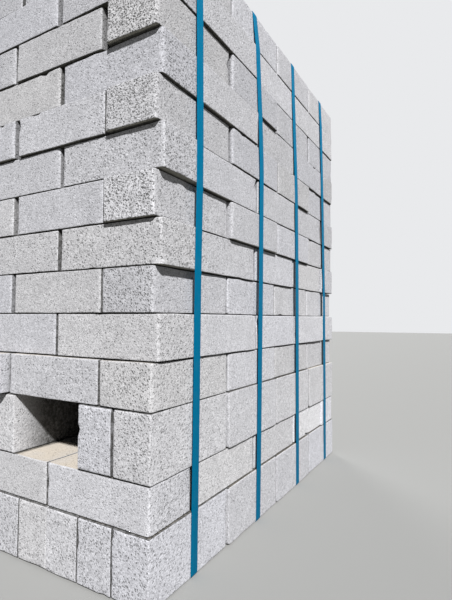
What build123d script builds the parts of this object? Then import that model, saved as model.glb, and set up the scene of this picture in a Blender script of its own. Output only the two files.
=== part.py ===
from build123d import *
import os

# A strapped pack of solid cement bricks, standing on its own bottom course.
# Millimetres, +Z up. The origin is on the floor, at the middle of the ground the pack covers.
# The fork voids run through along Y, and the straps go round the pack in X and Z.

# One brick as it leaves the press. Two widths and a mortar joint make one length.
brick_length = 222
mortar_joint = 10
brick_height = 73
arris = 4
brick_width = (brick_length - mortar_joint) / 2

# Joints left between bricks when a course is clamped together
end_joint = 3
bonded_joint = 4
header_joint = 3
bearer_joint = 2
least_side_joint = 1.5

# The stack: courses are counted from the floor. Two are on edge, the bottom one and the one
# that holds the fork voids.
on_edge_courses = (1, 3)
course_count = 14
run_bricks = 4
bonded_bricks = 3
outer_bearers = 2
middle_bearers = 4

# Where the stack has moved since it was made
middle_offset = 14
moved_courses = (1, 2, 3, 4)
forward_shift = 9
slipped_courses = (4,)
brick_slip = 20
corner_slips = {6: (-2.5, 0), 8: (-1, -2), 10: (0, -4), 12: (0, -5)}

# Plastic strapping, and where it lies along the stack from the middle
strap_width = 19
strap_thickness = 1
strap_places = (-345, -102, 121, 351)

# A straight run is bricks laid end to end. A bonded row has a brick laid crosswise at each end.
run_length = run_bricks * brick_length + (run_bricks - 1) * end_joint
bonded_pitch = brick_length + bonded_joint
stretcher_span = bonded_bricks * brick_length + (bonded_bricks - 1) * bonded_joint
bonded_length = stretcher_span + 2 * (header_joint + brick_width)
crosswise_centre = (bonded_length - brick_width) / 2

# Rows side by side are spread evenly over the length of a run
row_count = int((run_length + least_side_joint) // (brick_width + least_side_joint))
row_pitch = (run_length - brick_width) / (row_count - 1)
outer_row = (run_length - brick_width) / 2
bearer_count = int((run_length + least_side_joint) // (brick_height + least_side_joint))
bearer_pitch = (run_length - brick_height) / (bearer_count - 1)
outer_bearer = (run_length - brick_height) / 2
run_pitch = brick_length + end_joint
outer_end = (run_length - brick_length) / 2

bottom_course, void_course = on_edge_courses
flat_courses = [n for n in range(1, course_count + 1) if n not in on_edge_courses]

# The courses that haven't moved stand back from the origin by half of what the front has moved
stack_centre = (forward_shift + brick_slip) / 2


def course_floor(number):
    """Height of the underside of a course, over the strapping that the pack stands on."""
    on_edge_below = sum(below < number for below in on_edge_courses)
    flat_below = sum(below < number for below in flat_courses)
    return strap_thickness + flat_below * brick_height + on_edge_below * brick_width


def course_plane(number):
    """Work plane on the underside of a course, moved forward where the stack has shifted."""
    forward = forward_shift if number in moved_courses else 0
    return Plane(origin=(0, stack_centre - forward, course_floor(number)))


def side_run_places(number):
    """Middles of the bricks in the two runs along Y, with the front right one where it slipped."""
    rows = [row * run_pitch - outer_end for row in range(run_bricks)]
    places = [(side * crosswise_centre, row) for side in (-1, 1) for row in rows]
    corner_brick = places.index((crosswise_centre, -outer_end))
    slip_x, slip_y = corner_slips.get(number, (0, 0))
    places[corner_brick] = (crosswise_centre + slip_x, -outer_end + slip_y)
    return places


def brick(size_x, size_y, size_z, eased=True):
    """One brick on the plane. Bricks that show have worn arrises, and hidden ones stay square."""
    with BuildPart() as block:
        Box(size_x, size_y, size_z, align=(Align.CENTER, Align.CENTER, Align.MIN))
        if eased:
            chamfer(block.edges(), length=arris)
    return block.part


face_lengthwise = brick(brick_length, brick_width, brick_height)
face_crosswise = brick(brick_width, brick_length, brick_height)
face_on_edge = brick(brick_height, brick_length, brick_width)
core_lengthwise = brick(brick_length, brick_width, brick_height, eased=False)
core_crosswise = brick(brick_width, brick_length, brick_height, eased=False)
core_on_edge = brick(brick_height, brick_length, brick_width, eased=False)


def save(node, name):
    """Labels a finished node and writes it."""
    node.label = name
    export_step(node, f"parts/{name}.step")


os.makedirs("parts", exist_ok=True)

# Bottom course: bricks on edge side by side, with their ends on the front face
with BuildPart(course_plane(bottom_course)) as ground_course:
    with GridLocations(2 * outer_bearer, run_pitch, 2, run_bricks):
        add(face_on_edge)
    with GridLocations(bearer_pitch, 2 * outer_end, bearer_count - 2, 2):
        add(face_on_edge)
    with GridLocations(bearer_pitch, run_pitch, bearer_count - 2, run_bricks - 2):
        add(core_on_edge)
save(ground_course.part, "course_01")

# Void course: bearers on edge in three groups, with a fork void each side of the middle one
outer_group_width = outer_bearers * brick_height + (outer_bearers - 1) * bearer_joint
outer_group_centre = (run_length - outer_group_width) / 2
bearer_groups = {
    "course_03_left": (-outer_group_centre, outer_bearers),
    "course_03_middle": (-middle_offset, middle_bearers),
    "course_03_right": (outer_group_centre, outer_bearers),
}
for group_name, (group_centre, bearers) in bearer_groups.items():
    with BuildPart(course_plane(void_course)) as bearer_group:
        with Locations((group_centre, 0)):
            with GridLocations(brick_height + bearer_joint, run_pitch, bearers, run_bricks):
                add(face_on_edge)
    save(bearer_group.part, group_name)

# Flat courses: even ones from course 4 up have a straight run along Y at each side,
# and the others have a straight run along X at the front and the back
for number in flat_courses:
    runs_along_y = number > void_course and number % 2 == 0
    slip = brick_slip if number in slipped_courses else 0
    top_course = number == course_count
    inner_lengthwise = face_lengthwise if top_course else core_lengthwise
    with BuildPart(course_plane(number)) as course:
        if runs_along_y:
            with Locations(*side_run_places(number)):
                add(face_crosswise)
            with GridLocations(2 * bonded_pitch, 2 * outer_row, 2, 2):
                add(face_lengthwise)
            with Locations((0, -outer_row - slip), (0, outer_row)):
                add(face_lengthwise)
            with GridLocations(bonded_pitch, row_pitch, bonded_bricks, row_count - 2):
                add(inner_lengthwise)
        else:
            with GridLocations(run_pitch, 2 * crosswise_centre, run_bricks, 2):
                add(face_lengthwise)
            with GridLocations(2 * outer_row, bonded_pitch, 2, bonded_bricks):
                add(face_crosswise)
            with GridLocations(row_pitch, bonded_pitch, row_count - 2, bonded_bricks):
                add(core_crosswise)
    save(course.part, f"course_{number:02d}")

# Straps: closed bands round the pack, drawn tight to the longer courses
stack_height = course_floor(course_count + 1) - strap_thickness
girth_width = max(run_length, bonded_length)
for position, strap_y in enumerate(strap_places, 1):
    with BuildPart() as strap:
        with BuildSketch(Plane.XZ.offset(-stack_centre - strap_y)) as band_section:
            with Locations((0, strap_thickness + stack_height / 2)):
                RectangleRounded(
                    girth_width + 2 * strap_thickness,
                    stack_height + 2 * strap_thickness,
                    arris + strap_thickness,
                )
                RectangleRounded(girth_width, stack_height, arris, mode=Mode.SUBTRACT)
        extrude(amount=strap_width / 2, both=True)
    save(strap.part, f"strap_{position}")
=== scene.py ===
"""A strapped pack of solid cement bricks: worn concrete bricks in crossed courses, and plastic straps."""

import math
import random

import bpy
import numpy as np
from mathutils import Matrix, Vector


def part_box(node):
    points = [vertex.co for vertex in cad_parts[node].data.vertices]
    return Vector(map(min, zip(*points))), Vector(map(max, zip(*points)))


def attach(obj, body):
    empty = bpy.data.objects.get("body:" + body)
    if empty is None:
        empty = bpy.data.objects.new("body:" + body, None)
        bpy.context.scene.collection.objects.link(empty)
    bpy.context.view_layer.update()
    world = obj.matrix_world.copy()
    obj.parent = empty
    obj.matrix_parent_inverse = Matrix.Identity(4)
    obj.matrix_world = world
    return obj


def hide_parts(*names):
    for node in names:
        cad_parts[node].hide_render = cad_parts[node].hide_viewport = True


bl_info = {
    "name": "Strapped Brick Pack",
    "version": (1, 0, 0),
    "blender": (4, 5, 0),
    "location": "View3D > Sidebar > Brick Pack",
    "description": "Builds worn cement bricks and plastic straps round the packed model",
    "category": "Add Mesh",
}

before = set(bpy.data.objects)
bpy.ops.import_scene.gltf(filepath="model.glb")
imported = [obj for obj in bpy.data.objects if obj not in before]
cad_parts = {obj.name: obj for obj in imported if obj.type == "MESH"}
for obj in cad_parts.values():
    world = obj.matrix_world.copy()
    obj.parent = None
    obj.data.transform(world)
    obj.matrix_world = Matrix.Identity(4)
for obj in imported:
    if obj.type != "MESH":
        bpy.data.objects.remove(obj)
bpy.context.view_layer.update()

MM = 0.001
COURSES = sorted(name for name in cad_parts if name.startswith("course"))
STRAPS = sorted(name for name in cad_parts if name.startswith("strap"))

# How far bricks have slid from where the courses were clamped, in millimetres along X and Y. A
# third number turns a brick: its far end along the list comes back by that much.
# Each list starts at the near right corner: "front" runs to the left, and "side" to the back.
FRONT_SLIPS = {
    "course_01": [(-4, 0), (-3.8, 0), (-3.4, 0), (-1.9, 0), (-1.2, 0), (-0.8, 0), (-0.4, 0)],
    "course_02": [(-6.5, 0), (-5, 0), (-3.4, 0), (-1.8, 0)],
    "course_03_right": [(-4.5, 0), (-7, 0)],
    "course_03_middle": [(-5.5, 0), (-3.6, 0), (-1.8, 0), (0, 0)],
    "course_04": [(-0.5, 0), (-1, 0), (-1, 0), (-1, 0)],
    "course_05": [(0.5, -1.3), (0, -0.5), (0, 0), (0, 0)],
    "course_06": [(-7.5, 1), (-12, 1), (-8.3, 0), (-5.5, 0)],
    "course_07": [(3, 0), (0.5, 0), (-0.5, 0), (0, 0)],
    "course_08": [(-4.5, 1), (-11, 0.5), (-7.3, 0), (-4.5, 0)],
    "course_09": [(5.5, 0), (1.5, -1.2), (0, 0), (0, 0)],
    "course_10": [(-1.5, -2.9, 2), (-8.5, -4.5), (-5, -2), (-2.2, 0)],
    "course_11": [(2, 0), (-1.5, -1.6), (-1, 0), (0, 0)],
    "course_12": [(-13, -1.4, 2.5), (-13.5, -2), (-9.7, 0), (-6.9, 0)],
    "course_13": [(0, -5), (-6.5, -5.5), (-4, -3), (-1.5, 0)],
}
SIDE_SLIPS = {
    "course_02": [(-5.5, 5), (-5.5, 5), (-5, 4)],
    "course_04": [(-1, 0), (-1, 0), (-3, 0), (-4, 0)],
    "course_05": [(0, -2), (-2, 0), (0, 0)],
    "course_06": [(-5.5, 0), (-6.5, -1.5), (-7.5, 0), (-8, 0)],
    "course_07": [(-5.5, -2), (-6, 0), (-8, 0)],
    "course_08": [(-3, -3.2), (4.5, -3.8), (1, -2), (-3, 0)],
    "course_09": [(0, -2), (0, 0), (-4.5, 0)],
    "course_10": [(0, -2.4), (4.5, -4.6), (3.5, -2.5), (-2.5, 0)],
    "course_11": [(4.5, -2), (-3, 0), (-0.5, 0)],
    "course_12": [(0, -2.4), (4.5, -5), (-0.5, -2.5), (0, 0)],
    "course_13": [(3, -2), (-3, 0), (-3, 0)],
}

# How far the straps lean from upright on the right face: millimetres along Y at four heights
STRAP_LEAN = {
    "strap_1": {0: 3, 500: -4, 800: -4, 1090: -4},
    "strap_2": {0: -6, 500: 0, 750: 0, 1090: -24},
    "strap_3": {0: 2, 500: 0, 750: -4, 1090: -24},
    "strap_4": {0: 4, 500: 0, 750: -10, 1090: -28},
}

# Joints that hold grime and painted shade, the margin round the bricks above and below where beds get
# painted shade, and how far in from the faces of the pack the fork voids are painted dark as shade, in
# metres
LEAST_JOINT = 0.8 * MM
CLOSE_JOINT = 0.007
WIDEST_JOINT = 0.025
LEAST_SHARED = 10 * MM
WIDE_JOINT_SHADE_AND_GRIME = 0.68
SIDE_JOINT_SHADE_AND_GRIME = 0.5
COVER_MARGIN = 0.004
SIDE_FACE, FRONT_FACE = 0.4485, 0.44
WALL_FADE = 0.075
FLOOR_DARK_FROM, FLOOR_FADE = 0.07, 0.08
CLEAN_FROM = 1.0

# Bricks that reach further out than this along X or Y show a face on that side, in metres
OUTER = 0.42

# Bricks of the outer rows lie no further in than this from the front and the right face, and a
# brick pushes the next one where they share this much and come nearer than this
FRONT_ROW, SIDE_ROW = 0.03, 0.02
PUSH_SHARED, PUSH_GAP = 0.005, 0.4 * MM

# How open the faces are, from 0 to 1: the ranges for ends and faces, and the near corner, where a
# stretcher above the low courses has a more open end, and faces have more pits towards the corner
END_PITS, FACE_PITS = (0.12, 0.34), (0.0, 0.17)
CORNER_END, LOW_CORNER_END = 0.42, 0.3
LAST_LOW_COURSE = 5
STRETCHER_LENGTH = 0.2
NEAR_CORNER = (0.45, -0.44)
CORNER_PITS, CORNER_REACH = 0.14, 0.25
CORE_PITS = 0.2

# The header at the near corner shows its open, pitted end in these courses
PITTED_HEADERS = {"course_06": 0.42, "course_08": 0.85, "course_10": 0.78, "course_12": 0.8}

# More pits than most in the front stretcher at the near corner
PITTED_STRETCHERS = {"course_05": 0.14, "course_09": 0.1}

# Bricks of the right face that are made paler: from where along Y, and how much paler
PALE_SIDE = {
    "course_02": (0.1, 2.0), "course_05": (-0.36, 1.0), "course_07": (-0.36, 0.7),
    "course_13": (-0.36, 1.8), "course_14": (-0.36, 1.6),
}

# Where the mesh of a brick has points beside its broad and its narrow arrises, in millimetres
BROAD_STATIONS = (0, 1.6, 3.6, 7)
BED_STATIONS = (0, 1.1, 3)

# Wander in the form of a brick, as layers of noise: the size of the features in metres, how much
# they count, and what is added to the seed
ARRIS_WANDER = ((0.035, 1.0, 0), (0.012, 0.6, 1))
BED_ARRIS_WANDER = ((0.009, 0.9, 2),)
BED_ROUGHNESS = ((0.03, 0.6, 3), (0.012, 0.4, 4), (0.07, 1.6, 6))
FACE_DIPS = ((0.05, 1.0, 5),)

# What the wander is added to: the least radius of an arris, as a share, and the depth of a bed
ARRIS_LEAST, ARRIS_SPAN = 0.35, 0.8
BED_ARRIS_LEAST = 0.3
BED_DEPTH, LEAST_BED_DEPTH = -0.35, 0.1
HOLLOW_FADE = 0.004

# Chips in the arrises: their size in metres, their depth as a share of it, and how near the
# corners of the brick they may lie
CHIP_SIZES = (0.006, 0.013)
CHIP_DEPTHS = (0.12, 0.32)
CHIP_ALONG = 0.95

# How far the pale wear of the arrises reaches, in metres, and how much of it the beds have
ARRIS_WEAR, BED_WEAR = 0.009, 0.0035
WEAR_ON_BED = 0.004
BED_PALENESS = 0.55

# Straps, in metres: how far to each side of its middle the bricks hold a strap up, the room it
# leaves for bricks that are turned, and where it touches a course between its beds
STRAP_REACH = 0.012
TURN_ROOM = 0.0004
MID_COURSE = 40 * MM
TOUCH_HEIGHT = 3 * MM

# The section of a strap, in metres: how far its face is crowned, its rims worn and its back set
# in, and how wide it is beside its solid. Then how its mesh is divided, and how it drifts: the
# waves to a metre, in radians, and how much each of them counts.
STRAP_CROWN, STRAP_RIM, STRAP_BACK = 0.00018, 0.0001, MM * 0.9
STRAP_TRIM = 0.985
STRAP_STRETCH = 0.03
SECTION_CELLS = 6
BEND_STEPS = 8
DRIFT_WAVES = ((5.1, 1.0), (13, 0.4))

# Points of a solid nearer than one part of a metre in this many are one, a point lies on a face
# of its brick when it is this near, and nothing is divided by less than TINY
WELD = 20000
ON_FACE = 1e-6
TINY = 1e-9
BOX_CORNERS = 8

# What keeps the random numbers of courses, and of pits, apart
SEEDS_PER_COURSE = 100
PITTING_SEED = 5000


def level(node):
    """The number of the course that a node of bricks belongs to."""
    return int(node[7:9])


def courses_at(number):
    """The nodes of bricks in a course: several where the fork voids part it."""
    return [node for node in COURSES if level(node) == number]


def linear(hex_colour):
    """An sRGB hex colour as linear red, green, blue and alpha."""
    channels = [int(hex_colour[i : i + 2], 16) / 255 for i in (1, 3, 5)]
    return [c / 12.92 if c <= 0.04045 else ((c + 0.055) / 1.055) ** 2.4 for c in channels] + [1.0]


def add_node(material, kind, settings=None, **inputs):
    """Adds a node with its settings, and gives each named input a value or a link."""
    tree = material.node_tree
    node = tree.nodes.new(kind)
    for name, value in (settings or {}).items():
        setattr(node, name, value)
    for name, value in inputs.items():
        key = int(name[1:]) if name[0] == "i" and name[1:].isdigit() else name.replace("_", " ")
        if isinstance(value, bpy.types.NodeSocket):
            tree.links.new(value, node.inputs[key])
        else:
            node.inputs[key].default_value = value
    return node


def emptied(owner):
    """A new material or world, with no nodes in it."""
    owner.use_nodes = True
    owner.node_tree.nodes.clear()
    return owner


def strength(material, *ranges, start=1.0):
    """How strongly a layer shows: a product of measures, each stretched from one range to another.
    A range has the measure, its low and high ends, and what they become."""
    product = start
    for measure, low, high, new_low, new_high in ranges:
        stretched = add_node(
            material, "ShaderNodeMapRange", None,
            Value=measure, From_Min=low, From_Max=high, To_Min=new_low, To_Max=new_high,
        )
        times = add_node(
            material, "ShaderNodeMath", {"operation": "MULTIPLY"},
            i0=product, i1=stretched.outputs["Result"],
        )
        product = times.outputs["Value"]
    return product


# Numbers that wander smoothly through space


def value_noise(points, size, seed):
    """Smooth noise from 0 to 1 at each point, with features about as large as size. Large primes
    mix the place of a cell and the seed into one random number."""
    scaled = points / size + seed * 17.31
    cell = np.floor(scaled).astype(np.int64)
    part = scaled - cell
    part = part * part * (3 - 2 * part)
    total = np.zeros(len(points))
    for corner in range(8):
        step = np.array([corner & 1, corner >> 1 & 1, corner >> 2 & 1])
        key = ((cell + step) * np.array([73856093, 19349663, 83492791])).sum(1) + seed * 7919
        key = (key ^ (key >> 13)) * 1274126177 & 0x7FFFFFFF
        weight = np.prod(np.where(step, part, 1 - part), axis=1)
        total += weight * ((key ^ (key >> 16)) % 10007 / 10007)
    return total


def wander(points, layers, seed):
    """Layers of smooth noise, added up."""
    return sum(share * value_noise(points, size, seed + more) for size, share, more in layers)


# Bricks


def brick_boxes(node):
    """The box of each brick in a CAD course, and whether its arrises are eased."""
    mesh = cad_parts[node].data
    points = np.array([v.co for v in mesh.vertices])
    keys = [tuple(key) for key in np.round(points * WELD).astype(int)]
    owner = {key: key for key in keys}

    def find(key):
        while owner[key] != key:
            owner[key] = owner[owner[key]]
            key = owner[key]
        return key

    for polygon in mesh.polygons:
        first = find(keys[polygon.vertices[0]])
        for vertex in polygon.vertices[1:]:
            owner[find(keys[vertex])] = first
    islands = {}
    for index, key in enumerate(keys):
        islands.setdefault(find(key), []).append(index)
    boxes = []
    for members in islands.values():
        corners = points[members]
        eased = len({keys[index] for index in members}) > BOX_CORNERS
        boxes.append((corners.min(0), corners.max(0), eased))
    return sorted(boxes, key=lambda box: tuple(np.round(box[0], 4)))


def stations(length, near, cell):
    """Places along an edge: close together beside the arrises, and even between them."""
    near = np.array(near) * MM
    middle = max(2, round((length - 2 * near[-1]) / cell))
    inner = np.linspace(near[-1], length - near[-1], middle + 1)
    return np.concatenate([near[:-1], inner, length - near[-2::-1]]) - length / 2


SHELLS = {}


def shell(counts):
    """The surface points of a lattice, as whole-number places, and the quads that join them."""
    if counts in SHELLS:
        return SHELLS[counts]
    places = {}
    quads = []

    def point(place):
        return places.setdefault(place, len(places))

    for axis in range(3):
        u, v = (axis + 1) % 3, (axis + 2) % 3
        for side in (0, counts[axis] - 1):
            for i in range(counts[u] - 1):
                for j in range(counts[v] - 1):
                    ring = []
                    for du, dv in ((0, 0), (1, 0), (1, 1), (0, 1)):
                        place = [0, 0, 0]
                        place[axis], place[u], place[v] = side, i + du, j + dv
                        ring.append(point(tuple(place)))
                    quads.append(ring if side else ring[::-1])
    SHELLS[counts] = np.array(list(places)), np.array(quads)
    return SHELLS[counts]


def knock_chips(shape, points, half, most, draw):
    """Moves points of the shape inward where chips are knocked out of its arrises."""
    for _ in range(draw.randint(1, most)):
        along = draw.randrange(3)
        spot = np.array([half[axis] * draw.choice((-1, 1)) for axis in range(3)])
        spot[along] *= draw.uniform(-CHIP_ALONG, CHIP_ALONG)
        size = draw.uniform(*CHIP_SIZES)
        bite = np.clip(1 - (np.linalg.norm(points - spot, axis=1) / size) ** 2, 0, None)
        inward = -np.sign(spot)
        inward[along] = 0
        shape += (bite * size * draw.uniform(*CHIP_DEPTHS))[:, None] * inward


def shade_and_grime_on(points, placed, half, joints, covers):
    """How much grime and painted shade each point of a brick holds, from 0 to 1. It fills the joints with
    grime and painted shade, thins out in the wide ones, paints shade deep inside the fork voids and
    paints shade on the beds that carry bricks, a little past their edges."""
    # Painted shade that grows with the distance into the fork voids
    depth = np.minimum(SIDE_FACE - np.abs(placed[:, 0]), FRONT_FACE - np.abs(placed[:, 1]))
    on_wall = half[0] - np.abs(points[:, 0]) < ON_FACE
    painted_shade_and_grime = np.where(on_wall, depth / WALL_FADE, (depth - FLOOR_DARK_FROM) / FLOOR_FADE)
    painted_shade_and_grime = np.clip(painted_shade_and_grime, 0, 1) * (placed[:, 2] < CLEAN_FROM)
    for axis, sign, start, stop, share in joints:
        across = placed[:, 1 - axis]
        on_end = half[axis] - sign * points[:, axis] < ON_FACE
        covered = on_end & (across > start + MM) & (across < stop - MM)
        painted_shade_and_grime = np.maximum(painted_shade_and_grime, share * covered)
    for step, (cover_lows, cover_highs) in covers.items():
        on_bed = half[2] - step * points[:, 2] < ON_FACE
        spots = placed[on_bed, None, :2]
        covered = ((spots > cover_lows) & (spots < cover_highs)).all(2).any(1)
        painted_shade_and_grime[on_bed] = np.maximum(painted_shade_and_grime[on_bed], covered)
    return painted_shade_and_grime


def worn_brick(low, high, settings, seed, joints, covers, end_pits, face_pits):
    """Points, quads and surface measures of one brick. The corners of the mould leave four broad
    arrises along the short side, and the beds meet the faces in narrow ones."""
    draw = random.Random(seed)
    size = high - low
    half = size / 2
    centre = (low + high) / 2
    long, short = int(np.argmax(size)), int(np.argmin(size))
    plan = [axis for axis in range(3) if axis != short]
    near = {axis: BROAD_STATIONS for axis in plan} | {short: BED_STATIONS}
    lines = [stations(size[axis], near[axis], settings.mesh_cell) for axis in range(3)]
    places, quads = shell(tuple(len(line) for line in lines))
    points = np.stack([lines[axis][places[:, axis]] for axis in range(3)], axis=1)
    inset = half - np.abs(points)
    nearest = inset[:, plan].min(1)
    side = np.sign(points)

    # Broad arrises: the plan of the brick is a rectangle with rounded corners
    radius = settings.arris_radius * (ARRIS_LEAST + ARRIS_SPAN * wander(points, ARRIS_WANDER, seed))
    over = np.clip(radius[:, None] - inset[:, plan], 0, None)
    outward = np.zeros_like(points)
    outward[:, plan] = side[:, plan] * over / np.maximum(np.linalg.norm(over, axis=1), TINY)[:, None]
    shape = points.copy()
    shape[:, plan] += outward[:, plan] * over.max(1)[:, None] - side[:, plan] * over

    # Narrow arrises round the beds
    bed_radius = settings.bed_radius * (BED_ARRIS_LEAST + wander(points, BED_ARRIS_WANDER, seed))
    from_side = bed_radius - nearest
    from_bed = bed_radius - inset[:, short]
    rounded = (from_side > 0) & (from_bed > 0)
    scale = bed_radius / np.maximum(np.hypot(from_side, from_bed), TINY)
    shape += outward * np.where(rounded, from_side * (scale - 1), 0)[:, None]
    lift = np.where(rounded, from_bed * (scale - 1), 0)

    # The beds are rough, and touch the next course at their high spots only
    depth = BED_DEPTH + wander(points, BED_ROUGHNESS, seed)
    hollow = settings.bed_hollow * np.clip(depth, LEAST_BED_DEPTH, None)
    hollow *= np.clip(1 - inset[:, short] / HOLLOW_FADE, 0, 1)
    shape[:, short] += side[:, short] * (lift - hollow)
    flat = np.where(inset < ON_FACE, side, 0)
    flat[:, short] = 0
    shape -= flat * (settings.face_dip * wander(points, FACE_DIPS, seed))[:, None]
    knock_chips(shape, points, half, settings.chips, draw)

    # Distance round to the nearest broad arris, and to the bed
    round_to_arris = np.sort(inset[:, plan], axis=1)[:, 1]
    round_to_arris = np.where(inset[:, short] < ON_FACE, nearest + WEAR_ON_BED, round_to_arris)
    arris = np.clip(1 - round_to_arris / ARRIS_WEAR, 0, 1)
    bed_edge = np.clip(1 - inset[:, short] / BED_WEAR, 0, 1) * (nearest < ON_FACE)
    placed = points + centre
    measures = {
        "joint_shade_and_grime": shade_and_grime_on(points, placed, half, joints, covers),
        "arris": np.maximum(arris, BED_PALENESS * bed_edge),
        "pitting": np.where(inset[:, long] < ON_FACE, end_pits, face_pits(placed)),
        "brick_tone": np.full(len(points), draw.random()),
        "brick_tint": np.full(len(points), draw.random()),
    }
    return shape + centre, quads, measures


def near_ends(lows, highs):
    """For each brick, the ends that have another brick near: the axis and side of the end, where the
    other brick starts and stops across it, and how much grime and painted shade the joint holds."""
    found = [set() for _ in lows]
    for axis, across in ((0, 1), (1, 0)):
        first_stop = np.minimum(highs[:, None, across], highs[None, :, across])
        shared = first_stop - np.maximum(lows[:, None, across], lows[None, :, across])
        gap = lows[None, :, axis] - highs[:, None, axis]
        near = (shared > LEAST_SHARED) & (gap > LEAST_JOINT) & (gap < WIDEST_JOINT)
        for one, other in zip(*np.nonzero(near)):
            share = 1.0 if gap[one, other] < CLOSE_JOINT else WIDE_JOINT_SHADE_AND_GRIME
            if axis == 1:
                share = SIDE_JOINT_SHADE_AND_GRIME
            found[one].add((axis, 1, lows[other, across], highs[other, across], share))
            found[other].add((axis, -1, lows[one, across], highs[one, across], share))
    return found


def covers_of(node, settings):
    """The plan boxes of the bricks over (1) and under (-1) a course, a little larger all round."""
    covers = {}
    for step in (1, -1):
        beside = [slipped(other, settings) for other in courses_at(level(node) + step)]
        none = [np.empty((0, 2))]
        lows = np.concatenate([places[0][:, :2] - COVER_MARGIN for places in beside] + none)
        highs = np.concatenate([places[1][:, :2] + COVER_MARGIN for places in beside] + none)
        covers[step] = lows, highs
    return covers


def turned(points, centre, angle):
    """Points turned about an upright line through the centre."""
    x, y, z = (points - centre).T
    cosine, sine = math.cos(angle), math.sin(angle)
    return np.stack([x * cosine - y * sine, x * sine + y * cosine, z], axis=1) + centre


def pitting_of(node, low, high, seed):
    """How open the ends of a brick are, and a measure for its faces: more pits by the near corner."""
    draw = random.Random(seed + PITTING_SEED)
    end_pits = draw.uniform(*END_PITS)
    face_pits = draw.uniform(*FACE_PITS)
    if high[0] > OUTER and low[1] < -OUTER:
        open_end = high[0] - low[0] > STRETCHER_LENGTH and level(node) > LAST_LOW_COURSE
        end_pits = PITTED_HEADERS.get(node, CORNER_END if open_end else LOW_CORNER_END)
        face_pits += PITTED_STRETCHERS.get(node, 0)

    def on_face(points):
        to_corner = np.hypot(points[:, 0] - NEAR_CORNER[0], points[:, 1] - NEAR_CORNER[1])
        return face_pits + CORNER_PITS * np.clip(1 - to_corner / CORNER_REACH, 0, 1)

    return end_pits, on_face


def paleness_of(node, low, high):
    """How much paler than most a brick is, in the measure of brick_tone."""
    start, paleness = PALE_SIDE.get(node, (0, 0))
    return paleness if high[0] > OUTER and low[1] > start else 0


def plain_brick(low, high, seed):
    """A square block for a brick that lies inside the stack."""
    places, quads = shell((2, 2, 2))
    points = low + places * (high - low)
    draw = random.Random(seed)
    measures = {name: np.full(BOX_CORNERS, draw.random()) for name in ("brick_tone", "brick_tint")}
    for name, value in (("arris", 0.0), ("joint_shade_and_grime", 1.0), ("pitting", CORE_PITS)):
        measures[name] = np.full(BOX_CORNERS, value)
    return points, quads, measures


PLACES = {}


def slipped(node, settings):
    """Where the bricks of a course lie after the slips of stacking: low and high corners, the turn
    of each brick, and whether it is eased."""
    if node in PLACES:
        return PLACES[node]
    boxes = brick_boxes(node)
    course_low, course_high = (np.array(corner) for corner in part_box(node))
    lows = np.array([box[0] for box in boxes])
    highs = np.array([box[1] for box in boxes])
    sizes = highs - lows
    draw = np.random.default_rng(COURSES.index(node))
    slips = draw.uniform(-1, 1, (len(boxes), 3)) * settings.stacking_slip
    slips[:, 2] = 0
    turns = draw.uniform(-1, 1, len(boxes)) * settings.stacking_turn
    on_front = lows[:, 1] < course_low[1] + FRONT_ROW
    on_side = np.zeros(len(boxes), bool)
    if not node.startswith(("course_01", "course_03")):
        on_side = (highs[:, 0] > course_high[0] - SIDE_ROW) & (sizes[:, 1] > sizes[:, 0])
    side_run = sorted(np.flatnonzero(on_side), key=lambda index: lows[index, 1])
    front_row = sorted(np.flatnonzero(on_front & ~on_side), key=lambda index: -highs[index, 0])
    for row, table in ((front_row, FRONT_SLIPS), (side_run, SIDE_SLIPS)):
        for index, slip in zip(row, table.get(node, ())):
            slips[index, :2] = np.array(slip[:2]) * MM
            if len(slip) > 2:
                turns[index] = slip[2] * MM / sizes[index].max()
    lows, highs = lows + slips, highs + slips

    # A brick that was pushed in pushes the ones behind it
    order = np.argsort(-highs[:, 0])
    for place, index in enumerate(order):
        for other in order[place + 1 :]:
            shared = min(highs[index, 1], highs[other, 1]) - max(lows[index, 1], lows[other, 1])
            overlap = highs[other, 0] - lows[index, 0] + PUSH_GAP
            if shared > PUSH_SHARED and overlap > 0:
                lows[other, 0] -= overlap
                highs[other, 0] -= overlap
    PLACES[node] = lows, highs, turns, [box[2] for box in boxes]
    return PLACES[node]


def reach_of(number, y):
    """How far a course reaches to the left, right, down and up where a strap passes."""
    settings = bpy.context.scene.brick_settings
    places = [slipped(node, settings) for node in courses_at(number)]
    lows, highs = (np.concatenate([place[end] for place in places]) for end in (0, 1))
    beside = (lows[:, 1] < y + STRAP_REACH) & (highs[:, 1] > y - STRAP_REACH)
    return lows[beside, 0].min(), highs[beside, 0].max(), lows[:, 2].min(), highs[:, 2].max()


def mesh_object(name, points, quads, measures, smooth=True):
    """A mesh object from points and quads, with a named number on each point."""
    mesh = bpy.data.meshes.new(name)
    mesh.from_pydata(points, [], quads)
    mesh.polygons.foreach_set("use_smooth", [smooth] * len(mesh.polygons))
    for measure, values in measures.items():
        attribute = mesh.attributes.new(measure, "FLOAT", "POINT")
        attribute.data.foreach_set("value", np.asarray(values, dtype=np.float32))
    mesh.validate()
    mesh.update()
    piece = bpy.data.objects.new(name, mesh)
    bpy.context.scene.collection.objects.link(piece)
    return piece


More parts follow.
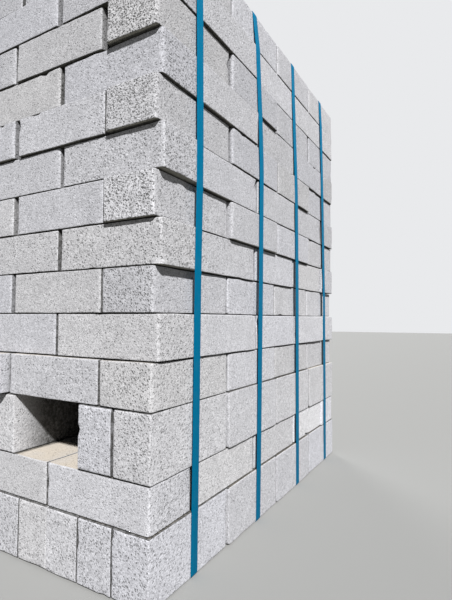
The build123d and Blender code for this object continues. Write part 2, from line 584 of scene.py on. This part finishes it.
def pressed_concrete(settings):
    """Dry-pressed concrete: a semi-dry mix rammed in a steel mould. The faces are matt and sandy,
    the ends are open and pitted, and the worn arrises are paler than the faces."""
    material = emptied(bpy.data.materials.new("pressed concrete"))
    place = add_node(material, "ShaderNodeTexCoord").outputs["Object"]
    arris, joint_shade_and_grime, pitting, brick_tone, brick_tint = (
        add_node(material, "ShaderNodeAttribute", {"attribute_name": name}).outputs["Fac"]
        for name in ("arris", "joint_shade_and_grime", "pitting", "brick_tone", "brick_tint")
    )

    # Sand of about 2 mm, lumps of 5 mm and soft blotches: size in millimetres, and roughness
    sand, lumps, blotch = (
        add_node(
            material, "ShaderNodeTexNoise", None,
            Vector=place, Scale=1 / (size_mm * MM), Detail=2, Roughness=roughness,
        ).outputs["Fac"]
        for size_mm, roughness in ((2.0, 0.7), (5.5, 0.55), (42, 0.55))
    )

    # Stones of about 3 mm that differ in brightness
    stones = add_node(
        material, "ShaderNodeTexVoronoi", {"feature": "F1"},
        Vector=place, Scale=1 / (3.0 * MM), Randomness=1.0,
    )
    stone_random = add_node(
        material, "ShaderNodeSeparateColor", None, Color=stones.outputs["Color"],
    ).outputs["Red"]

    # Pits of about 4 mm and finer ones of 2 mm, torn out of shape by the sand. A hole is open where
    # its own random number is lower than the measure of pits. Each row has the size in
    # millimetres, the random channel, how much of the measure counts, what is added to it, how
    # softly holes open, how wide they are and how deep.
    tear = add_node(
        material, "ShaderNodeTexNoise", None, Vector=place, Scale=1 / (3 * MM), Detail=1.0,
    ).outputs["Color"]
    torn = add_node(
        material, "ShaderNodeVectorMath", {"operation": "MULTIPLY_ADD"},
        i0=tear, i1=(3.5 * MM, 3.5 * MM, 3.5 * MM), i2=place,
    ).outputs["Vector"]
    patchy = strength(material, (blotch, 0.3, 0.7, 0.6, 1.15), start=pitting)
    pits = 0.0
    for size_mm, channel, share, added, softness, width, depth in (
        (3.8, "Green", 1.0, 0.0, 0.06, 0.55, 1.0),
        (2.3, "Blue", 0.5, 0.08, 0.04, 0.6, 0.8),
    ):
        holes = add_node(
            material, "ShaderNodeTexVoronoi", {"feature": "F1"},
            Vector=torn, Scale=1 / (size_mm * MM), Randomness=1.0,
        )
        hole_random = add_node(
            material, "ShaderNodeSeparateColor", None, Color=holes.outputs["Color"],
        ).outputs[channel]
        chance = add_node(
            material, "ShaderNodeMath", {"operation": "MULTIPLY_ADD"}, i0=patchy, i1=share, i2=added,
        ).outputs["Value"]
        ahead = add_node(
            material, "ShaderNodeMath", {"operation": "SUBTRACT"}, i0=chance, i1=hole_random,
        ).outputs["Value"]
        opened = strength(
            material, (ahead, -softness, softness, 0, 1), (holes.outputs["Distance"], width, 0.2, 0, 1),
            start=depth,
        )
        pits = add_node(
            material, "ShaderNodeMath", {"operation": "MAXIMUM"}, i0=pits, i1=opened,
        ).outputs["Value"]

    shade = strength(
        material,
        (brick_tone, 0, 3, 0.95, 1.22),
        (blotch, 0.3, 0.7, 0.96, 1.04),
        (sand, 0.3, 0.7, 0.7, 1.28),
        (lumps, 0.3, 0.7, 0.93, 1.06),
        (stone_random, 0, 1, 0.88, 1.12),
        (arris, 0, 1, 1.0, 1.09),
        (pitting, 0.35, 0.85, 1.0, 1.22),
    )
    shades = add_node(material, "ShaderNodeCombineColor", None, Red=shade, Green=shade, Blue=shade)

    # Beds that look up carry buff dust, thick in the sheltered fork voids and thin on top of the pack,
    # and the ones that look down are painted darker: a damp tint with painted shade
    normal = add_node(material, "ShaderNodeNewGeometry").outputs["Normal"]
    facing = add_node(material, "ShaderNodeSeparateXYZ", None, Vector=normal).outputs["Z"]
    height_up = add_node(material, "ShaderNodeSeparateXYZ", None, Vector=place).outputs["Z"]
    dust = strength(
        material, (facing, 0.97, 0.995, 0, 1), (blotch, 0.3, 0.6, 0.7, 0.95),
        (height_up, 0.25, 0.5, 1.0, 0.22),
    )
    damp_and_shade = strength(material, (facing, -0.5, -0.95, 0.0, 0.9))
    # Painted shade and grime: in the joints, deep in the fork voids and on the beds under other bricks
    painted_shade_and_grime = strength(material, (joint_shade_and_grime, 0.15, 0.9, 0, 1), (lumps, 0.3, 0.6, 0.65, 0.95))
    pit_share = strength(material, (pitting, 0.15, 0.6, 0.3, 0.85), start=pits)

    # The layers from the mix itself outward. The sockets of this node share their names, so they
    # are given by number.
    colour = settings.cool_grey[:]
    for share, over, kind in (
        (brick_tint, settings.warm_grey[:], "MIX"),
        (1.0, shades.outputs["Color"], "MULTIPLY"),
        (dust, settings.bed_dust[:], "MIX"),
        (damp_and_shade, settings.damp_and_shade_bed[:], "MIX"),
        (painted_shade_and_grime, settings.joint_grime_and_shade[:], "MIX"),
        (pit_share, settings.pit_shadow[:], "MIX"),
    ):
        colour = add_node(
            material, "ShaderNodeMix", {"data_type": "RGBA", "blend_type": kind},
            i0=share, i6=colour, i7=over,
        ).outputs[2]

    # Relief: grains and lumps stand up, each stone falls away from its middle, and pits go in
    stone_top = strength(material, (stones.outputs["Distance"], 0.0, 0.8, 0.35, 0.0))
    height = 0.0
    for part, weight in ((sand, 0.55), (lumps, 0.35), (stone_top, 1.0), (pits, -1.1)):
        height = add_node(
            material, "ShaderNodeMath", {"operation": "MULTIPLY_ADD"}, i0=part, i1=weight, i2=height,
        ).outputs["Value"]
    bump = add_node(
        material, "ShaderNodeBump", None,
        Strength=0.85, Distance=settings.grain_relief, Height=height,
    )
    shader = add_node(
        material, "ShaderNodeBsdfPrincipled", None,
        Base_Color=colour, Normal=bump.outputs["Normal"], Roughness=0.93, Diffuse_Roughness=0.2,
        Specular_IOR_Level=0.25,
    )
    add_node(material, "ShaderNodeOutputMaterial", None, Surface=shader.outputs["BSDF"])
    return material


# Straps


def taut_line(reach):
    """The corners that a tight band touches on its way up one side, from (distance out, height)."""
    line = []
    for spot in sorted(reach, key=lambda spot: (spot[1], spot[0])):
        while len(line) > 1:
            (x0, z0), (x1, z1) = line[-2:]
            if (x1 - x0) * (spot[1] - z0) > (spot[0] - x0) * (z1 - z0):
                break
            line.pop()
        line.append(spot)
    return line


def bent_path(outline, bottom, top, radius):
    """Points and outward directions round a closed outline, with bends at its four corners."""
    path = []
    sides = ([spot for spot in outline if spot[0] > 0], [spot for spot in outline if spot[0] < 0])
    for side, spots in enumerate(sides):
        sign = 1 if side == 0 else -1
        ends = ((spots[0], bottom if side == 0 else top), (spots[-1], top if side == 0 else bottom))
        for end, ((x, _), z) in enumerate(ends):
            centre = Vector((x + sign * (MM - radius), z - radius if z == top else z + radius))
            start = {(0, 0): 270, (0, 1): 0, (1, 0): 90, (1, 1): 180}[side, end]
            for step in range(BEND_STEPS + 1):
                angle = math.radians(start + 90 * step / BEND_STEPS)
                outward = Vector((math.cos(angle), math.sin(angle)))
                path.append((centre + radius * outward, outward))
            if end == 0:
                for x_out, height in spots[1:-1]:
                    path.append((Vector((x_out + sign * MM, height)), Vector((sign, 0.0))))
    return path


def strap_band(node, settings, seed):
    """Points and quads of a strap: a thin flat band drawn tight in a closed loop."""
    draw = random.Random(seed)
    phases = [draw.uniform(0, math.tau) for _ in DRIFT_WAVES]
    low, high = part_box(node)
    middle = (low.y + high.y) / 2
    half_width = (high.y - low.y) / 2
    lean = STRAP_LEAN[node]

    def off_line(height):
        return MM * np.interp(height / MM, list(lean), list(lean.values()))

    left, right = [], []
    for number in range(1, level(COURSES[-1]) + 1):
        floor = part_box(courses_at(number)[0])[0].z
        face_left, face_right, floor, top = reach_of(number, middle + off_line(floor + MID_COURSE))
        for height in (floor + TOUCH_HEIGHT, top - TOUCH_HEIGHT):
            left.append((-face_left - TURN_ROOM, height))
            right.append((face_right + TURN_ROOM, height))
    outline = taut_line(right) + [(-x, height) for x, height in reversed(taut_line(left))]
    path = bent_path(outline, low.z, high.z, settings.bend_radius + MM)

    # Straight stretches get points of their own, for the slight drift of a tight band
    full_path = []
    for index, (place, outward) in enumerate(path):
        following, next_outward = path[(index + 1) % len(path)]
        pieces = max(1, int((following - place).length // STRAP_STRETCH))
        for piece in range(pieces):
            share = piece / pieces
            full_path.append((place.lerp(following, share), outward.lerp(next_outward, share)))

    # Across the band, from side to side and how deep: its crowned face one way, and its back
    across = [-1 + 2 * step / SECTION_CELLS for step in range(SECTION_CELLS + 1)]
    section = [(side, STRAP_CROWN * side * side + STRAP_RIM * (abs(side) == 1)) for side in across]
    section += [(-side, STRAP_CROWN + STRAP_BACK) for side in across]
    points = []
    for place, outward in full_path:
        waves = (
            share * math.sin(place.y * rate + phase)
            for (rate, share), phase in zip(DRIFT_WAVES, phases)
        )
        drift = off_line(place.y) + settings.drift * sum(waves)
        for side, depth in section:
            spot = place - outward * depth
            points.append((spot.x, middle + drift + side * half_width * STRAP_TRIM, spot.y))
    ring = len(section)
    quads = []
    for step in range(len(full_path)):
        start = step * ring
        following = (step + 1) % len(full_path) * ring
        for item in range(ring):
            after = (item + 1) % ring
            quads.append((start + item, start + after, following + after, following + item))
    return np.array(points), np.array(quads)


def polyester_strapping(settings):
    """Extruded polyester strapping: smooth and hard, with a soft gloss and fine drawn lines."""
    material = emptied(bpy.data.materials.new("polyester strapping"))
    place = add_node(material, "ShaderNodeTexCoord").outputs["Object"]

    # Lines drawn along the band, 0.9 mm apart. The real ones are finer and wouldn't show.
    stretched = add_node(
        material, "ShaderNodeMapping", None,
        Vector=place, Scale=(1.0, 1 / (0.9 * MM), 1.0),
    )
    lines = add_node(
        material, "ShaderNodeTexNoise", None,
        Vector=stretched.outputs["Vector"], Scale=1.0, Detail=2.0,
    ).outputs["Fac"]
    dust = add_node(
        material, "ShaderNodeTexNoise", None,
        Vector=place, Scale=1 / (28 * MM), Detail=4.0,
    ).outputs["Fac"]

    # Painted sheen: the band is painted lighter towards its top, where more light falls on its gloss
    height_up = add_node(material, "ShaderNodeSeparateXYZ", None, Vector=place).outputs["Z"]
    painted_sheen = strength(material, (height_up, 0.1, 1.0, 0.86, 1.22))
    sheen_tint = add_node(material, "ShaderNodeCombineColor", None, Red=painted_sheen, Green=painted_sheen, Blue=painted_sheen)
    colour = settings.deep_teal[:]
    for share, over, kind in (
        (strength(material, (lines, 0.3, 0.7, 0, 1)), settings.strap_teal[:], "MIX"),
        (1.0, sheen_tint.outputs["Color"], "MULTIPLY"),
        (strength(material, (dust, 0.5, 0.8, 0.0, 0.012)), settings.strap_dust[:], "MIX"),
    ):
        colour = add_node(
            material, "ShaderNodeMix", {"data_type": "RGBA", "blend_type": kind},
            i0=share, i6=colour, i7=over,
        ).outputs[2]
    bump = add_node(material, "ShaderNodeBump", None, Strength=0.25, Distance=0.00015, Height=lines)
    shader = add_node(
        material, "ShaderNodeBsdfPrincipled", None,
        Base_Color=colour, Roughness=0.45, Normal=bump.outputs["Normal"], Specular_IOR_Level=0.03,
    )
    add_node(material, "ShaderNodeOutputMaterial", None, Surface=shader.outputs["BSDF"])
    return material


# What a user can change


class BrickSettings(bpy.types.PropertyGroup):
    """Form and colour of the bricks."""

    arris_radius: bpy.props.FloatProperty(
        name="Arris radius", description="Mean radius of the arrises along the short side",
        default=0.0052, subtype="DISTANCE", unit="LENGTH",
    )
    bed_radius: bpy.props.FloatProperty(
        name="Bed radius", description="Mean radius of the arrises round the beds",
        default=0.0019, subtype="DISTANCE", unit="LENGTH",
    )
    bed_hollow: bpy.props.FloatProperty(
        name="Bed hollow", description="How far the rough beds stand clear of each other",
        default=0.0008, subtype="DISTANCE", unit="LENGTH",
    )
    mesh_cell: bpy.props.FloatProperty(
        name="Mesh cell", description="Distance between mesh points on a face",
        default=0.0115, subtype="DISTANCE", unit="LENGTH",
    )
    face_dip: bpy.props.FloatProperty(
        name="Face dip", description="How far the faces dip between high spots",
        default=0.0009, subtype="DISTANCE", unit="LENGTH",
    )
    chips: bpy.props.IntProperty(name="Chips", description="Most chips on one brick", default=5)
    stacking_slip: bpy.props.FloatProperty(
        name="Stacking slip", description="How far a brick may lie from its place",
        default=0.0009, subtype="DISTANCE", unit="LENGTH",
    )
    stacking_turn: bpy.props.FloatProperty(
        name="Stacking turn", description="How far a brick may be turned from square",
        default=math.radians(0.22), subtype="ANGLE", unit="ROTATION",
    )
    grain_relief: bpy.props.FloatProperty(
        name="Grain relief", description="Height of the sand grains in the bump",
        default=0.0011, subtype="DISTANCE", unit="LENGTH",
    )
    cool_grey: bpy.props.FloatVectorProperty(
        name="Cool grey", description="Colour of the bluest bricks",
        default=linear("#BFBFC4"), size=4, subtype="COLOR",
    )
    warm_grey: bpy.props.FloatVectorProperty(
        name="Warm grey", description="Colour of the warmest bricks",
        default=linear("#C1C0C1"), size=4, subtype="COLOR",
    )
    # Painted shade and grime in the joints, the fork voids and the beds under other bricks
    joint_grime_and_shade: bpy.props.FloatVectorProperty(
        name="Joint grime", description="Colour inside the close upright joints",
        default=linear("#3C3B38"), size=4, subtype="COLOR",
    )
    # A damp tint with painted shade on the faces that look down
    damp_and_shade_bed: bpy.props.FloatVectorProperty(
        name="Damp bed", description="Colour of faces that look down",
        default=linear("#8C897B"), size=4, subtype="COLOR",
    )
    bed_dust: bpy.props.FloatVectorProperty(
        name="Bed dust", description="Buff dust on faces that look up",
        default=linear("#C9BFB1"), size=4, subtype="COLOR",
    )
    pit_shadow: bpy.props.FloatVectorProperty(
        name="Pit shadow", description="Colour inside the open pits",
        default=linear("#33322E"), size=4, subtype="COLOR",
    )


class StrapSettings(bpy.types.PropertyGroup):
    """Form and colour of the straps."""

    bend_radius: bpy.props.FloatProperty(
        name="Bend radius", description="Inner radius where a strap turns over the stack",
        default=0.004, subtype="DISTANCE", unit="LENGTH",
    )
    drift: bpy.props.FloatProperty(
        name="Drift", description="How far a strap wanders from a straight line",
        default=0.0005, subtype="DISTANCE", unit="LENGTH",
    )
    strap_teal: bpy.props.FloatVectorProperty(
        name="Strap teal", description="Colour of the strap's high lines",
        default=linear("#00749B"), size=4, subtype="COLOR",
    )
    deep_teal: bpy.props.FloatVectorProperty(
        name="Deep teal", description="Colour of the strap's low lines",
        default=linear("#00658B"), size=4, subtype="COLOR",
    )
    strap_dust: bpy.props.FloatVectorProperty(
        name="Strap dust", description="Colour of the thin dust on the straps",
        default=linear("#B9C3C4"), size=4, subtype="COLOR",
    )


class StageSettings(bpy.types.PropertyGroup):
    """Camera, lamps and floor."""

    focal_length: bpy.props.FloatProperty(
        name="Focal length", description="Lens for a 36 mm high frame", default=26.3, unit="CAMERA",
    )
    key_strength: bpy.props.FloatProperty(
        name="Key strength", description="Strength of the key lamp", default=5.2,
    )
    key_angle: bpy.props.FloatProperty(
        name="Key softness", description="Angular size of the key lamp",
        default=math.radians(3), subtype="ANGLE", unit="ROTATION",
    )
    fill_strength: bpy.props.FloatProperty(
        name="Fill strength", description="Strength of the lamp behind the pack", default=1.5,
    )
    fill_angle: bpy.props.FloatProperty(
        name="Fill softness", description="Angular size of the lamp behind the pack",
        default=math.radians(25), subtype="ANGLE", unit="ROTATION",
    )
    even_strength: bpy.props.FloatProperty(
        name="Even strength", description="Strength of the even light from all round", default=0.1,
    )
    floor_colour: bpy.props.FloatVectorProperty(
        name="Floor colour", description="Colour of the studio floor",
        default=linear("#A2A2A0"), size=4, subtype="COLOR",
    )
    floor_bounce: bpy.props.FloatVectorProperty(
        name="Floor bounce", description="Colour of the floor in the light that it throws back",
        default=linear("#6A6A68"), size=4, subtype="COLOR",
    )


class BRICKPACK_OT_bricks(bpy.types.Operator):
    """Build every course of bricks in its place"""

    bl_idname = "brickpack.bricks"
    bl_label = "Add Brick Courses"

    def execute(self, context):
        settings = context.scene.brick_settings
        concrete = pressed_concrete(settings)
        for order, node in enumerate(COURSES):
            points, quads, measures, count = [], [], {}, 0
            lows, highs, turns, all_eased = slipped(node, settings)
            joints = near_ends(lows, highs)
            covers = covers_of(node, settings)
            for index, (low, high, eased) in enumerate(zip(lows, highs, all_eased)):
                seed = order * SEEDS_PER_COURSE + index
                if eased:
                    pitting = pitting_of(node, low, high, seed)
                    brick = worn_brick(low, high, settings, seed, joints[index], covers, *pitting)
                    brick[2]["brick_tone"] += paleness_of(node, low, high)
                else:
                    brick = plain_brick(low, high, seed)
                spots, faces, on_points = brick
                points.append(turned(spots, (low + high) / 2, turns[index]))
                quads.append(faces + count)
                for name, values in on_points.items():
                    measures.setdefault(name, []).append(values)
                count += len(spots)
            measures = {name: np.concatenate(parts) for name, parts in measures.items()}
            piece = mesh_object("bricks_" + node, np.concatenate(points), np.concatenate(quads), measures)
            piece.data.materials.append(concrete)
            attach(piece, "root")
            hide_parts(node)
        return {"FINISHED"}


class BRICKPACK_OT_straps(bpy.types.Operator):
    """Draw the straps round the stack"""

    bl_idname = "brickpack.straps"
    bl_label = "Add Straps"

    def execute(self, context):
        settings = context.scene.strap_settings
        plastic = polyester_strapping(settings)
        for index, node in enumerate(STRAPS):
            points, quads = strap_band(node, settings, index)
            piece = mesh_object("band_" + node, points, quads, {}, smooth=False)
            piece.data.materials.append(plastic)
            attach(piece, "root")
            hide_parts(node)
        return {"FINISHED"}


# Where the photograph was taken from, in metres, and how the camera was turned
CAMERA_PLACE = Vector((0.8571, -0.9444, 0.4252))
CAMERA_TURN = math.radians(29.88)
CAMERA_RISE = math.radians(2.38)
CAMERA_ROLL = math.radians(0.32)
KEY_FROM = Vector((0.535, -0.543, 0.647))
FILL_FROM = Vector((-0.66, 0.68, 0.32))
SENSOR_MM = 36

# The studio floor: how far it reaches, in metres, and how many sides its round edge has
FLOOR_REACH = 14
FLOOR_SIDES = 24


def seen_directly(material):
    """1 for what the camera sees, also in a reflection or through glass, and 0 for other light."""
    rays = add_node(material, "ShaderNodeLightPath")
    total = rays.outputs["Is Camera Ray"]
    for kind in ("Is Glossy Ray", "Is Transmission Ray"):
        total = add_node(
            material, "ShaderNodeMath", {"operation": "ADD", "use_clamp": True},
            i0=total, i1=rays.outputs[kind],
        ).outputs["Value"]
    return total


class BRICKPACK_OT_stage(bpy.types.Operator):
    """Set the camera, the lamps and a pale floor"""

    bl_idname = "brickpack.stage"
    bl_label = "Set Stage"

    def execute(self, context):
        settings = context.scene.stage_settings
        scene = context.scene
        camera = bpy.data.cameras.new("camera")
        camera.sensor_fit = "AUTO"
        camera.sensor_width = SENSOR_MM
        camera.lens = settings.focal_length
        eye = bpy.data.objects.new("camera", camera)
        turn = Matrix.Rotation(CAMERA_TURN, 4, "Z") @ Matrix.Rotation(math.pi / 2 + CAMERA_RISE, 4, "X")
        eye.matrix_world = Matrix.Translation(CAMERA_PLACE) @ turn @ Matrix.Rotation(CAMERA_ROLL, 4, "Z")
        scene.collection.objects.link(eye)
        scene.camera = eye

        for name, power, angle, direction in (
            ("key", settings.key_strength, settings.key_angle, KEY_FROM),
            ("fill", settings.fill_strength, settings.fill_angle, FILL_FROM),
        ):
            lamp = bpy.data.lights.new(name, "SUN")
            lamp.energy = power
            lamp.angle = angle
            sun = bpy.data.objects.new(name, lamp)
            sun.rotation_euler = direction.to_track_quat("Z", "Y").to_euler()
            scene.collection.objects.link(sun)

        world = emptied(bpy.data.worlds.new("studio"))
        scene.world = world
        even, pale = (
            add_node(world, "ShaderNodeBackground", None, Color=linear(hex_colour), Strength=power)
            for hex_colour, power in (("#F4F7FC", settings.even_strength), ("#E9EAEC", 1.0))
        )
        either = add_node(
            world, "ShaderNodeMixShader", None,
            i0=seen_directly(world), i1=even.outputs["Background"], i2=pale.outputs["Background"],
        )
        add_node(world, "ShaderNodeOutputWorld", None, Surface=either.outputs["Shader"])

        edge = []
        for step in range(FLOOR_SIDES):
            angle = math.tau * step / FLOOR_SIDES
            edge.append((FLOOR_REACH * math.cos(angle), FLOOR_REACH * math.sin(angle), 0))
        floor_mesh = bpy.data.meshes.new("floor")
        floor_mesh.from_pydata(edge, [], [list(range(FLOOR_SIDES))])
        floor = bpy.data.objects.new("floor", floor_mesh)
        scene.collection.objects.link(floor)

        # Matt floor paint. The light that it throws back counts as darker than what the eye sees,
        # so that the underside of the bricks keeps its shade.
        paint = emptied(bpy.data.materials.new("studio floor paint"))
        colour = add_node(
            paint, "ShaderNodeMix", {"data_type": "RGBA"},
            i0=seen_directly(paint), i6=settings.floor_bounce[:], i7=settings.floor_colour[:],
        ).outputs[2]
        shader = add_node(paint, "ShaderNodeBsdfPrincipled", None, Base_Color=colour, Roughness=0.9)
        add_node(paint, "ShaderNodeOutputMaterial", None, Surface=shader.outputs["BSDF"])
        floor_mesh.materials.append(paint)
        scene.view_settings.view_transform = "Standard"
        return {"FINISHED"}


class BRICKPACK_PT_sidebar(bpy.types.Panel):
    """Lists the pieces of the brick pack."""

    bl_label = "Brick Pack"
    bl_idname = "BRICKPACK_PT_sidebar"
    bl_space_type = "VIEW_3D"
    bl_region_type = "UI"
    bl_category = "Brick Pack"

    def draw(self, context):
        for operator, settings in (
            (BRICKPACK_OT_bricks, context.scene.brick_settings),
            (BRICKPACK_OT_straps, context.scene.strap_settings),
            (BRICKPACK_OT_stage, context.scene.stage_settings),
        ):
            box = self.layout.box()
            for name in settings.__annotations__:
                box.prop(settings, name)
            box.operator(operator.bl_idname)


CLASSES = (
    BrickSettings,
    StrapSettings,
    StageSettings,
    BRICKPACK_OT_bricks,
    BRICKPACK_OT_straps,
    BRICKPACK_OT_stage,
    BRICKPACK_PT_sidebar,
)


def register():
    for item in CLASSES:
        bpy.utils.register_class(item)
    bpy.types.Scene.brick_settings = bpy.props.PointerProperty(type=BrickSettings)
    bpy.types.Scene.strap_settings = bpy.props.PointerProperty(type=StrapSettings)
    bpy.types.Scene.stage_settings = bpy.props.PointerProperty(type=StageSettings)


def unregister():
    del bpy.types.Scene.stage_settings
    del bpy.types.Scene.strap_settings
    del bpy.types.Scene.brick_settings
    for item in reversed(CLASSES):
        bpy.utils.unregister_class(item)


def main():
    """Builds every piece and the stage."""
    register()
    bpy.ops.brickpack.bricks()
    bpy.ops.brickpack.straps()
    bpy.ops.brickpack.stage()


if __name__ == "__main__":
    main()
